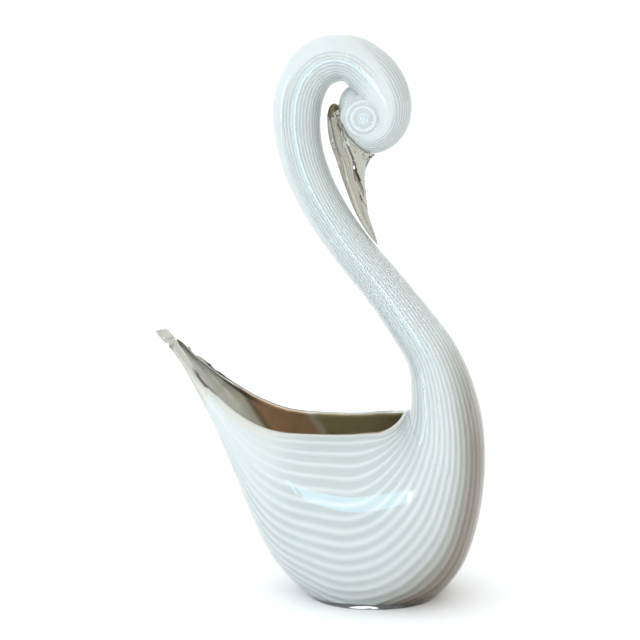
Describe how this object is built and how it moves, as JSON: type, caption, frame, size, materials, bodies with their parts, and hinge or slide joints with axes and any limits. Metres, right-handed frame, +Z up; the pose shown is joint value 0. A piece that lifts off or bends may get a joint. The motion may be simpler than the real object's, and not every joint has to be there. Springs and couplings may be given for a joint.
{
  "type": "glass swan figurine",
  "caption": "Blown glass swan dish: ribbed white body cased in clear glass, open mouth, drawn tail, curled head and clear beak.",
  "frame": {"origin": "on the flat foot, under the middle of the bowl, at ground level", "axes": "+X towards the breast, -X towards the tail, +Y towards the swan's left side, +Z up"},
  "size_m": [0.1777, 0.082, 0.299],
  "materials": {
    "white_glass": "polished, white cased in clear, smoky inside",
    "clear_glass": "polished, see-through"
  },
  "bodies": {
    "root": {"swan_body": "white_glass", "beak": "clear_glass"}
  },
  "joints": []
}
